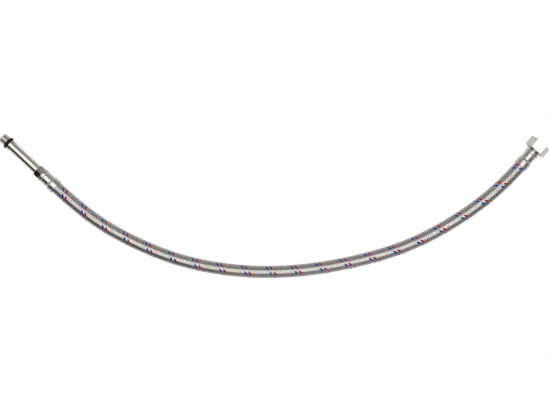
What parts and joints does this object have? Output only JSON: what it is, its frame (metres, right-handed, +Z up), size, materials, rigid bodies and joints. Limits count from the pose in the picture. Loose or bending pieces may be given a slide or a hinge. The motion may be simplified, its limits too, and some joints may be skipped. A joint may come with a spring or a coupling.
{
  "type": "braided supply line",
  "caption": "Flexible braided hose between a long threaded tap tail with an O-ring and a loose hexagonal swivel nut, laid in a shallow arc.",
  "frame": {"origin": "midway between the box of the two end fittings in X and Y, on the surface that the line lies on", "axes": "+X from the tap tail towards the swivel nut, along the longest extent; +Z up from the surface; the hose bows towards -Y"},
  "size_m": [0.5357, 0.1408, 0.019],
  "materials": {
    "nickel_plate": "polished nickel plate",
    "stainless_sleeve": "bright pressed stainless steel",
    "braid_wire": "bright fine stainless wire",
    "black_rubber": "matt black rubber",
    "tracer_blue": "blue braided yarn",
    "tracer_red": "red braided yarn"
  },
  "bodies": {
    "supply_line": {"tap_tail": "nickel_plate", "tap_o_ring": "black_rubber", "tap_ferrule": "stainless_sleeve", "inner_hose": "black_rubber", "wire_braid": "braid_wire", "valve_ferrule": "stainless_sleeve", "union_tail": "nickel_plate"},
    "washer": {"sealing_washer": "black_rubber"},
    "nut": {"swivel_nut": "nickel_plate"}
  },
  "joints": [
    {"name": "nut_float", "type": "slide", "parent": "supply_line", "child": "washer", "axis": [-0.6626, -0.749, 0], "range_m": [0, 0.001]},
    {"name": "nut_spin", "type": "hinge", "parent": "washer", "child": "nut", "pos_m": [0.25672, 0.01638, 0.0095], "axis": [0.6626, 0.749, 0], "continuous": true}
  ]
}
